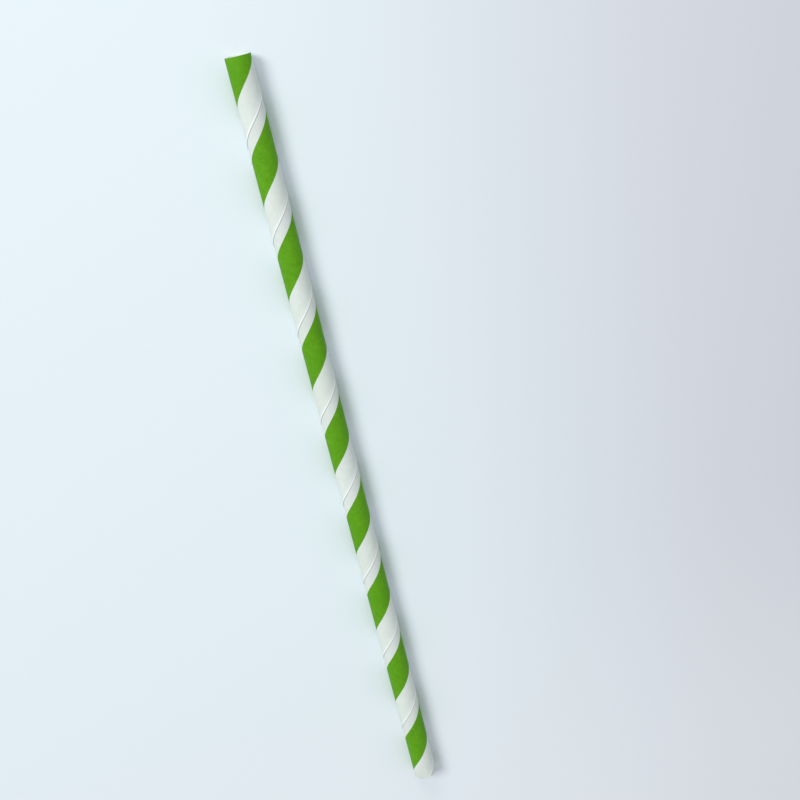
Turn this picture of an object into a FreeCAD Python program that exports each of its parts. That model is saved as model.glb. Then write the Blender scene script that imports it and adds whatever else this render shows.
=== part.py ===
import FreeCAD, Part
import math
import os

# Paper drinking straw, in millimetres. Three strips of paper are wound into one glued tube.
# The tube lies along X with its middle over the origin and rests on the ground plane.
# Its marked end, where the printed band runs out at the cut, points along +X.

# Tube
straw_length = 197.0
outside_diameter = 6.0

# Thickness of the printed facing strip, and of each plain backing strip under it
facing_ply = 0.08
backing_ply = 0.16
backing_plies = 2

# How far one turn of the winding advances along the straw
winding_lead = 23.0

# Lap seam: the facing strip covers the edge of its own last turn, then ramps back to the wall
lap_width = 0.7
lap_ramp = 0.3

# Printed band, and the white margin between it and the free edge of the lap above it
print_width = 6.9
print_margin = 2.45
print_depth = 0.02

# Butt seam in the bore, between the edges of the innermost strip
bore_seam_width = 0.3
bore_seam_depth = 0.08
bore_seam_stagger = 6.0

# Angle round the marked end at which the band's first edge runs out, from +Y towards +Z
run_out_angle = 12.0

# What the winding and cutting allow beyond the tube, so that every cut goes right through
overrun = 1.0

# Turns wound beyond those that fill the straw, one for each end
spare_turns = 2

outer_radius = outside_diameter / 2
wall = facing_ply + backing_plies * backing_ply
bore_radius = outer_radius - wall
lap_radius = outer_radius + facing_ply
circumference = math.pi * outside_diameter
turns_wound = math.ceil(straw_length / winding_lead) + spare_turns

# The straw is wound upright, its run-out half a turn round from the line where the windings start.
# The band's upper edge crosses that line at this height, give or take whole turns.
band_height = straw_length - winding_lead / 2

QUARTER_TURN = 90
AXIS = FreeCAD.Vector(0, 0, 1)
ORIGIN = FreeCAD.Vector(0, 0, 0)


def along(width_across):
    """Length along the straw of a width that is measured square across the wound strip."""
    return width_across * math.hypot(circumference, winding_lead) / circumference


def plain_tube():
    """Upright tube that the strips make, before its seams."""
    outside = Part.makeCylinder(outer_radius, straw_length)
    bore = Part.makeCylinder(bore_radius, straw_length + 2 * overrun)
    bore.translate(-overrun * AXIS)
    return outside.cut(bore)


def ribbon(section, top_height, turns):
    """Ribbon wound right-handed up the tube, from the turn that crosses the straw's foot.

    The section is a list of (radius, depth below the ribbon's top edge) corners, and top_height is
    the height at which that edge crosses the start line, give or take whole turns.
    """
    corners = [FreeCAD.Vector(radius, 0, -depth) for radius, depth in section]
    outline = Part.makePolygon(corners + corners[:1])
    helix = Part.makeHelix(winding_lead, turns * winding_lead, outer_radius)
    wound = helix.makePipeShell([outline], True, True)
    wound.translate((top_height % winding_lead - winding_lead) * AXIS)
    return wound


def cut_to_length(wound):
    """What a wound ribbon leaves between the straw's two square cuts."""
    return wound.common(Part.makeCylinder(outside_diameter, straw_length))


def turn_by_turn(section, top_height):
    """A ribbon as a list of its single turns, cut to length. A turn beyond a cut leaves nothing."""
    turn = ribbon(section, top_height, 1)
    turns = [cut_to_length(turn.translated(i * winding_lead * AXIS)) for i in range(turns_wound)]
    return [turn for turn in turns if turn.Solids]


def lap_seam():
    """Raised lap: a sharp free edge below, and a ramp above where it climbs over the hidden edge.

    The ramp runs on into the wall as deep as it stands out, so that the lap is rooted in it.
    """
    root = outer_radius - facing_ply
    crest = 2 * along(lap_ramp)
    free_edge = crest + along(lap_width)
    section = [(root, 0), (lap_radius, crest), (lap_radius, free_edge), (root, free_edge)]
    return turn_by_turn(section, band_height + along(print_margin) + free_edge)


def printed_band():
    """Skin of the wall that the print covers, taken clear of the outside."""
    skin = outer_radius - print_depth
    outside = outer_radius + overrun
    foot = along(print_width)
    section = [(skin, 0), (outside, 0), (outside, foot), (skin, foot)]
    return turn_by_turn(section, band_height)


def bore_seam():
    """Open butt seam between neighbouring turns of the innermost strip."""
    inside = bore_radius - bore_seam_depth
    groove = bore_radius + bore_seam_depth
    foot = along(bore_seam_width)
    section = [(inside, 0), (groove, 0), (groove, foot), (inside, foot)]
    top_height = band_height - along(bore_seam_stagger)
    return cut_to_length(ribbon(section, top_height, turns_wound))


def wound_tube():
    """The glued tube: plain wall, open seam in the bore, marked print, raised lap."""
    band = printed_band()
    blank = plain_tube()
    printed = [blank.common(turn) for turn in band]
    tube = blank.cut(band).multiFuse(printed + lap_seam())
    return tube.cut(bore_seam())


def laid_down(upright):
    """The straw on its side along X, resting on its lap seam, its middle over the origin.

    Laying it down takes the run-out to the top, from where it is rolled to its own angle.
    """
    upright.translate(-straw_length / 2 * AXIS)
    upright.rotate(ORIGIN, FreeCAD.Vector(0, 1, 0), QUARTER_TURN)
    upright.rotate(ORIGIN, FreeCAD.Vector(1, 0, 0), run_out_angle - QUARTER_TURN)
    upright.translate(lap_radius * AXIS)
    return upright


os.makedirs("parts", exist_ok=True)
straw = laid_down(wound_tube()).Solids[0]
straw.exportStep("parts/paper_straw.step")
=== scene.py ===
import math

import bmesh
import bpy
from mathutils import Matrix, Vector


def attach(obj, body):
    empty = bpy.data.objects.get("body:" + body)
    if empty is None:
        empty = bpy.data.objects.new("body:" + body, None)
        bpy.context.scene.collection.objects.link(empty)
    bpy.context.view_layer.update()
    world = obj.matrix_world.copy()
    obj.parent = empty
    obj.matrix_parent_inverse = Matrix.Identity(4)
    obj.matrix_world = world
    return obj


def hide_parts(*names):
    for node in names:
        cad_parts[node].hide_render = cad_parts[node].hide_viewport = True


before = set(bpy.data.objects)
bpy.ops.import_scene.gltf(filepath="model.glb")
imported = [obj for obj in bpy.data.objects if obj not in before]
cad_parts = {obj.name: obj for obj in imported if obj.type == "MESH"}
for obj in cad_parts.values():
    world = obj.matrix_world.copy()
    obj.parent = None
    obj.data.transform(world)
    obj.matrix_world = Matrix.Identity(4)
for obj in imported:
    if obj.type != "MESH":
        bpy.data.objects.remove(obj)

# Metres throughout, in the frame of the solids
MM = 0.001
straw_length = 197 * MM
outside_diameter = 6 * MM
facing_ply = 0.08 * MM
paper_wall = 0.4 * MM

# Winding, and the lap seam of the facing strip, measured square across the strip
winding_lead = 23 * MM
lap_width = 0.7 * MM
lap_ramp = 0.3 * MM
lap_sag = 0.015 * MM
fold_round = 0.12 * MM

# Line that the strip's hidden edge presses through the margin beside the lap
hidden_edge_gap = 0.65 * MM
hidden_edge_width = 0.35 * MM
hidden_edge_height = 0.012 * MM

# Printed stripe, and the white margin between it and the lap's free edge
print_width = 6.9 * MM
print_margin = 2.45 * MM
run_out_angle = math.radians(12)

# Butt seam between the turns of the innermost strip
bore_seam_width = 0.3 * MM
bore_seam_depth = 0.08 * MM
bore_seam_stagger = 6 * MM

# Rounding of the cut rims, and the least spacing of their points, which leaves room for it
rim_round = 0.03 * MM
rim_facets = 2
rim_spacing = 0.04 * MM

# How much shorter the bore is cut until its rims are closed
bore_short = 0.2 * MM

# How finely one turn is divided, and how many turns are wound beyond those that fill the straw
steps_per_turn = 96
spare_turns = 2

# How near points lie to be one where turns are welded, and to a plane to be on it where a skin is cut
weld_reach = 0.001 * MM
cut_reach = 0.0001 * MM

# Least cosine between a face's normal and the axis: in the flat of a rim, and in what shows bare
# paper, which also lies this near the cut
flat_rim = 0.99
bare_rim = 0.9
rim_reach = 0.01 * MM

# Steepest fold between two faces that still looks smooth
smooth_fold = math.radians(30)

# Painted light along the lap's free edge, as shares of the lead away from it: the painted highlight on the
# lip above it, the painted shadow below it, and how soon the painted shade of the margin ends at the print
highlight_starts = 0.036
highlight_full = 0.016
edge_shadow_full = 0.004
edge_shadow_ends = 0.02
margin_shade_fade = 0.004

# How far the print's edges wander, for each of two grains, and how soft they are, in turns
ink_wander = 0.003
ink_blur = 0.003

# Grains of the unevenness in paper and ink, in spots for each metre
pulp_grain = 900.0
wave_grain = 160.0
mottle_grain = 700.0
cloud_grain = 90.0
spread_grain = 1600.0
wander_grain = 120.0
fibre_grain = 2400.0

# Relief and gloss
fibre_relief = 0.03 * MM
paper_gloss = 0.15
floor_gloss = 0.1
bare_roughness = 0.85
white_roughness = 0.8
ink_roughness = 0.62
floor_roughness = 0.9

full_turn = 2 * math.pi
outer_radius = outside_diameter / 2
bore_radius = outer_radius - paper_wall
lap_radius = outer_radius + facing_ply
axis_height = lap_radius
circumference = math.pi * outside_diameter
helix_length = math.hypot(circumference, winding_lead)
strip_width = winding_lead * circumference / helix_length
turns_wound = math.ceil(straw_length / winding_lead) + spare_turns

# Where the print's first edge crosses the top of the straw: a little past the marked end, and from
# there back by all the turns that are wound
first_edge = (
    straw_length / 2
    + (full_turn / 4 - run_out_angle) / full_turn * winding_lead
    - turns_wound * winding_lead
)

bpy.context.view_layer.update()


def along(width_across):
    """Length along the straw of a width measured square across the wound strip."""
    return width_across * helix_length / circumference


def screen_colour(red, green, blue):
    """Linear colour that shows as the given 8-bit colour on screen."""
    def linear(value):
        value = value / 255
        return value / 12.92 if value <= 0.04045 else ((value + 0.055) / 1.055) ** 2.4
    return (linear(red), linear(green), linear(blue), 1.0)


# ---- Shaping -------------------------------------------------------------------------------------

def select_edges(piece, wanted):
    """In edit mode, selects just the piece's edges that are wanted."""
    bpy.ops.mesh.select_mode(type="EDGE")
    bpy.ops.mesh.select_all(action="DESELECT")
    mesh = bmesh.from_edit_mesh(piece.data)
    for edge in mesh.edges:
        edge.select_set(wanted(edge))
    mesh.select_flush_mode()
    bmesh.update_edit_mesh(piece.data)


def section_line(name, section):
    """Line of edges through (x, radius) points straight above the X axis, drawn out point by point."""
    bpy.ops.object.select_all(action="DESELECT")
    bpy.ops.mesh.primitive_plane_add(size=MM, location=(0, 0, 0))
    line = bpy.context.object
    line.name = name
    line.data.name = name
    bpy.ops.object.mode_set(mode="EDIT")
    bpy.ops.mesh.select_all(action="SELECT")
    bpy.ops.mesh.merge(type="CENTER")
    bpy.ops.transform.translate(value=(section[0][0], 0, section[0][1]))
    for (x, radius), (next_x, next_radius) in zip(section, section[1:]):
        step = (next_x - x, 0, next_radius - radius)
        bpy.ops.mesh.extrude_region_move(TRANSFORM_OT_translate={"value": step})
    bpy.ops.object.mode_set(mode="OBJECT")
    return line


def wind(line):
    """Winds one turn's line right-handed about the X axis, turn after turn, and welds the turns."""
    winding = line.modifiers.new("winding", "SCREW")
    winding.axis = "X"
    winding.angle = full_turn
    winding.screw_offset = winding_lead
    winding.iterations = turns_wound
    winding.steps = steps_per_turn
    winding.render_steps = steps_per_turn
    bpy.context.view_layer.objects.active = line
    bpy.ops.object.modifier_apply(modifier=winding.name)
    bpy.ops.object.mode_set(mode="EDIT")
    bpy.ops.mesh.select_all(action="SELECT")
    bpy.ops.mesh.remove_doubles(threshold=weld_reach)
    bpy.ops.object.mode_set(mode="OBJECT")


def cut_square(skin, length):
    """Cuts both ends of a wound skin square."""
    bpy.context.view_layer.objects.active = skin
    bpy.ops.object.mode_set(mode="EDIT")
    for side in (-1, 1):
        bpy.ops.mesh.select_all(action="SELECT")
        bpy.ops.mesh.bisect(
            plane_co=(side * length / 2, 0, 0),
            plane_no=(side, 0, 0),
            clear_outer=True,
            threshold=cut_reach,
        )
    bpy.ops.object.mode_set(mode="OBJECT")


def facing_section():
    """One turn of the printed facing, from the print's first edge to the same edge one lead on."""
    free_edge = along(print_margin)
    crest_end = free_edge + along(lap_width)
    ramp_end = crest_end + along(lap_ramp)
    hidden_edge = free_edge - along(hidden_edge_gap)
    half_line = along(hidden_edge_width) / 2
    bend = along(fold_round)
    crest_radius = lap_radius - lap_sag
    steps = [
        (0, outer_radius),
        (hidden_edge - 2 * half_line, outer_radius),
        (hidden_edge - half_line, outer_radius),
        (hidden_edge, outer_radius + hidden_edge_height),
        (hidden_edge + half_line, outer_radius),
        (free_edge, outer_radius),
        (free_edge, lap_radius),
        (free_edge + bend, lap_radius),
        (free_edge + 2 * bend, crest_radius),
        (crest_end - bend, crest_radius),
        (crest_end, crest_radius),
        (ramp_end, outer_radius),
        (ramp_end + bend, outer_radius),
        (winding_lead - along(print_width), outer_radius),
        (winding_lead, outer_radius),
    ]
    return [(first_edge + step, radius) for step, radius in steps]


def bore_section():
    """One turn of the innermost strip, with the open groove between its edges."""
    groove_top = winding_lead - along(bore_seam_stagger)
    groove_foot = groove_top - along(bore_seam_width)
    groove_radius = bore_radius + bore_seam_depth
    steps = [
        (0, bore_radius),
        (groove_foot, bore_radius),
        (groove_foot, groove_radius),
        (groove_top, groove_radius),
        (groove_top, bore_radius),
        (winding_lead, bore_radius),
    ]
    return [(first_edge + step, radius) for step, radius in steps]


def close_rim(straw, side):
    """Joins facing and bore at one end, then brings the bore's shorter edge out flush with the cut."""
    bore_end = (straw_length - bore_short) / 2

    def on_cut(edge):
        return edge.is_boundary and edge.verts[0].co.x * side > 0

    def on_bore_end(edge):
        return all(abs(end.co.x * side - bore_end) < bore_short / 4 for end in edge.verts)

    select_edges(straw, on_cut)
    bpy.ops.mesh.remove_doubles(threshold=rim_spacing)
    select_edges(straw, on_cut)
    bpy.ops.mesh.bridge_edge_loops()
    select_edges(straw, on_bore_end)
    bpy.ops.transform.translate(value=(side * bore_short / 2, 0, 0))


def rim_edge(edge):
    """Whether an edge runs round a cut rim, between the rim's flat face and the wall."""
    flat = [abs(face.normal.x) > flat_rim for face in edge.link_faces]
    return flat.count(True) == 1


def wound_straw():
    """The straw: printed facing outside, plain strip inside, closed by the two square-cut rims."""
    straw = section_line("wound_straw", facing_section())
    bore = section_line("bore_strip", bore_section())
    for skin, length in ((straw, straw_length), (bore, straw_length - bore_short)):
        bpy.ops.object.select_all(action="DESELECT")
        skin.select_set(True)
        wind(skin)
        cut_square(skin, length)

    bpy.ops.object.select_all(action="DESELECT")
    straw.select_set(True)
    bore.select_set(True)
    bpy.context.view_layer.objects.active = straw
    bpy.ops.object.join()

    bpy.ops.object.mode_set(mode="EDIT")
    for side in (-1, 1):
        close_rim(straw, side)
    bpy.ops.mesh.select_all(action="SELECT")
    bpy.ops.mesh.normals_make_consistent(inside=False)
    bpy.ops.transform.translate(value=(0, 0, axis_height))
    select_edges(straw, rim_edge)
    bpy.ops.mesh.bevel(offset=rim_round, segments=rim_facets, profile=0.5, clamp_overlap=False)
    bpy.ops.object.mode_set(mode="OBJECT")
    bpy.ops.object.shade_smooth_by_angle(angle=smooth_fold)
    return straw


# ---- Finishes ------------------------------------------------------------------------------------

def new_material(name):
    material = bpy.data.materials.new(name)
    material.use_nodes = True
    material.node_tree.nodes.clear()
    return material, material.node_tree


def connect(tree, value, slot):
    """Joins a socket to a node's slot, or sets any other value on it."""
    if isinstance(value, bpy.types.NodeSocket):
        tree.links.new(value, slot)
    else:
        slot.default_value = value


def add_node(tree, kind, settings=None, **inputs):
    """Adds a node with its inputs, each called by its name, or _0, _1 and so on by its place."""
    node = tree.nodes.new(kind)
    for name, value in (settings or {}).items():
        setattr(node, name, value)
    for name, value in inputs.items():
        slot = node.inputs[int(name[1:])] if name[0] == "_" else node.inputs[name.replace("_", " ")]
        connect(tree, value, slot)
    return node


def sum_up(tree, operation, first, second=0.0, third=0.0):
    """Result of one arithmetic step."""
    step = add_node(tree, "ShaderNodeMath", {"operation": operation}, _0=first, _1=second, _2=third)
    return step.outputs[0]


def blend(tree, share, under, over):
    """Lays one colour over another by a share."""
    node = add_node(tree, "ShaderNodeMix", {"data_type": "RGBA"}, _0=share, _6=under, _7=over)
    return node.outputs[2]


def fade(tree, value, start, end, low=0.0, high=1.0):
    """Smooth step of a value from low at the start to high at the end."""
    node = add_node(
        tree, "ShaderNodeMapRange", {"interpolation_type": "SMOOTHSTEP"},
        _0=value, _1=start, _2=end, _3=low, _4=high,
    )
    return node.outputs[0]


def speckle(tree, place, grain, detail=3.0, roughness=0.6):
    node = add_node(
        tree, "ShaderNodeTexNoise", Vector=place, Scale=grain, Detail=detail, Roughness=roughness,
    )
    return node.outputs[0]


def paper_mottle(tree, place):
    return speckle(tree, place, mottle_grain, 4.0, 0.7)


def paper_bump(tree, place):
    """Felted fibre relief of the paper, for a shader's Normal."""
    pulp = speckle(tree, place, pulp_grain, 4.0, 0.65)
    waves = speckle(tree, place, wave_grain, 2.0)
    relief = sum_up(tree, "MULTIPLY_ADD", waves, 0.6, pulp)
    return add_node(tree, "ShaderNodeBump", Strength=0.35, Distance=fibre_relief, Height=relief).outputs[0]


def matte_finish(tree, gloss, **inputs):
    """Shader of a matte finish, with its gloss, and the material's output."""
    shader = add_node(tree, "ShaderNodeBsdfPrincipled", **inputs)
    shader.inputs["Specular IOR Level"].default_value = gloss
    add_node(tree, "ShaderNodeOutputMaterial", Surface=shader.outputs[0])


def bare_paper():
    """Unprinted paper of the bore and of the cut rims."""
    material, tree = new_material("bare_paper")
    place = add_node(tree, "ShaderNodeTexCoord").outputs["Object"]
    mottle = paper_mottle(tree, place)
    colour = blend(tree, mottle, screen_colour(226, 228, 220), screen_colour(246, 247, 242))
    bump = paper_bump(tree, place)
    matte_finish(tree, paper_gloss, Base_Color=colour, Roughness=bare_roughness, Normal=bump)
    return material


def printed_facing():
    """White facing paper with the green stripe printed on it."""
    material, tree = new_material("printed_facing")
    place = add_node(tree, "ShaderNodeTexCoord").outputs["Object"]
    axes = add_node(tree, "ShaderNodeSeparateXYZ", _0=place).outputs

    # Turns of the winding counted from the print's first edge at the marked end
    height = sum_up(tree, "SUBTRACT", axes[2], axis_height)
    angle = sum_up(tree, "ARCTAN2", height, axes[1])
    from_end = sum_up(tree, "SUBTRACT", straw_length / 2, axes[0])
    angle_turns = sum_up(tree, "MULTIPLY_ADD", angle, 1 / full_turn, -run_out_angle / full_turn)
    turns = sum_up(tree, "MULTIPLY_ADD", from_end, 1 / winding_lead, angle_turns)

    # Print, whose edges wander a little where the ink spreads along the fibres
    ragged = turns
    for grain, detail in ((spread_grain, 3.0), (wander_grain, 2.0)):
        spots = speckle(tree, place, grain, detail)
        wander = sum_up(tree, "MULTIPLY_ADD", spots, 2 * ink_wander, -ink_wander)
        ragged = sum_up(tree, "ADD", ragged, wander)
    half_print = print_width / strip_width / 2
    centred = sum_up(tree, "ADD", ragged, 0.5 - half_print)
    off_centre = sum_up(tree, "ABSOLUTE", sum_up(tree, "SUBTRACT", sum_up(tree, "FRACT", centred), 0.5))
    ink = fade(tree, off_centre, half_print - ink_blur, half_print + ink_blur, low=1.0, high=0.0)

    # Distance down the strip from its free edge, as a share of the lead
    free_edge_turns = along(print_margin) / winding_lead
    below_edge = sum_up(tree, "FRACT", sum_up(tree, "ADD", turns, free_edge_turns))

    # White: felted mottle, painted shade on the margin under the free edge, a painted highlight on the
    # edge's lip and a painted shadow below it
    mottle = paper_mottle(tree, place)
    cloud = speckle(tree, place, cloud_grain, 2.0)
    white = blend(tree, mottle, screen_colour(209, 217, 209), screen_colour(229, 236, 228))
    white = blend(tree, fade(tree, cloud, 0.35, 0.7, high=0.25), white, screen_colour(206, 216, 202))
    # Painted shade: greys the white margin between the lap's free edge and the print
    painted_margin_shade = fade(tree, below_edge, free_edge_turns, free_edge_turns + margin_shade_fade, low=0.12, high=0.0)
    white = blend(tree, painted_margin_shade, white, screen_colour(206, 210, 211))
    # Painted highlight: a brighter band on the lap just above its free edge
    painted_highlight = fade(tree, below_edge, 1 - highlight_starts, 1 - highlight_full, high=0.75)
    white = blend(tree, painted_highlight, white, screen_colour(248, 250, 248))
    # Painted shadow: a dark line just below the lap's free edge
    painted_edge_shadow = fade(tree, below_edge, edge_shadow_full, edge_shadow_ends, low=0.6, high=0.0)
    white = blend(tree, painted_edge_shadow, white, screen_colour(150, 156, 150))

    # Green: uneven ink, lighter where single fibres stand clear of it
    green = blend(tree, mottle, screen_colour(73, 136, 4), screen_colour(108, 175, 26))
    green = blend(tree, fade(tree, cloud, 0.3, 0.7, high=0.35), green, screen_colour(78, 144, 8))
    fibres = speckle(tree, place, fibre_grain, 2.0, 0.5)
    bare_fibres = fade(tree, fibres, 0.62, 0.75, high=0.4)
    green = blend(tree, bare_fibres, green, screen_colour(150, 198, 96))

    colour = blend(tree, ink, white, green)
    roughness = fade(tree, ink, 0.0, 1.0, low=white_roughness, high=ink_roughness)
    bump = paper_bump(tree, place)
    matte_finish(tree, paper_gloss, Base_Color=colour, Roughness=roughness, Normal=bump)
    return material


def finish_straw(straw):
    """Printed facing on the outer skin, bare paper on the bore and the rims."""
    straw.data.materials.clear()
    straw.data.materials.append(printed_facing())
    straw.data.materials.append(bare_paper())
    for face in straw.data.polygons:
        centre = face.center
        from_axis = math.hypot(centre.y, centre.z - axis_height)
        at_cut = abs(abs(centre.x) - straw_length / 2) < rim_reach
        in_rim = at_cut and abs(face.normal.x) > bare_rim
        inside = from_axis < outer_radius - facing_ply
        face.material_index = 1 if in_rim or inside else 0


straw = wound_straw()
finish_straw(straw)
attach(straw, "root")
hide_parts("paper_straw")


# ---- Studio --------------------------------------------------------------------------------------

def pale_floor():
    """Floor painted greyer and cooler on the side away from the key lamp, as painted shade, and paler at
    the straw's lower end.
    """
    bpy.ops.object.select_all(action="DESELECT")
    bpy.ops.mesh.primitive_plane_add(size=12, location=(0, 0, 0))
    floor = bpy.context.object
    floor.name = "pale_floor"
    material, tree = new_material("pale_floor")
    place = add_node(tree, "ShaderNodeTexCoord").outputs["Object"]
    axes = add_node(tree, "ShaderNodeSeparateXYZ", _0=place).outputs
    # Painted shade: greys the floor toward the side away from the key lamp
    painted_shade_side = fade(tree, axes[1], 0.02, -0.14)
    colour = blend(tree, painted_shade_side, screen_colour(231, 241, 244), screen_colour(212, 213, 219))
    near_foot = fade(tree, axes[0], -0.03, -0.13, high=0.4)
    colour = blend(tree, near_foot, colour, screen_colour(236, 238, 241))
    matte_finish(tree, floor_gloss, Base_Color=colour, Roughness=floor_roughness)
    floor.data.materials.append(material)


def soft_lamp(name, place, aim, size, power):
    bpy.ops.object.light_add(type="AREA", location=place)
    lamp = bpy.context.object
    lamp.name = name
    lamp.data.shape = "DISK"
    lamp.data.size = size
    lamp.data.energy = power
    lamp.rotation_euler = (Vector(aim) - Vector(place)).to_track_quat("-Z", "Y").to_euler()


def studio():
    pale_floor()
    soft_lamp("key_lamp", place=(1.3, 1.3, 1.9), aim=(0, 0, 0), size=1.1, power=38.0)
    soft_lamp("end_lamp", place=(0.7, 0.05, 0.35), aim=(0.05, 0, 0), size=0.3, power=1.0)
    world = bpy.data.worlds.new("studio_air")
    bpy.context.scene.world = world
    world.use_nodes = True
    air = world.node_tree.nodes["Background"].inputs
    air["Color"].default_value = screen_colour(236, 240, 246)
    air["Strength"].default_value = 0.6


def camera():
    """Looks down on the marked end from above it, so that the lying straw seems to stand in frame."""
    bpy.ops.object.camera_add(location=(0.1145, 0.0, 0.2775))
    eye = bpy.context.object
    eye.name = "eye"
    eye.rotation_euler = (math.radians(-19.433), math.radians(-8.218), math.radians(-102.677))
    eye.data.sensor_width = 36
    eye.data.lens = 53.59
    eye.data.clip_start = 0.01
    bpy.context.scene.camera = eye


studio()
camera()
bpy.context.scene.view_settings.view_transform = "Standard"
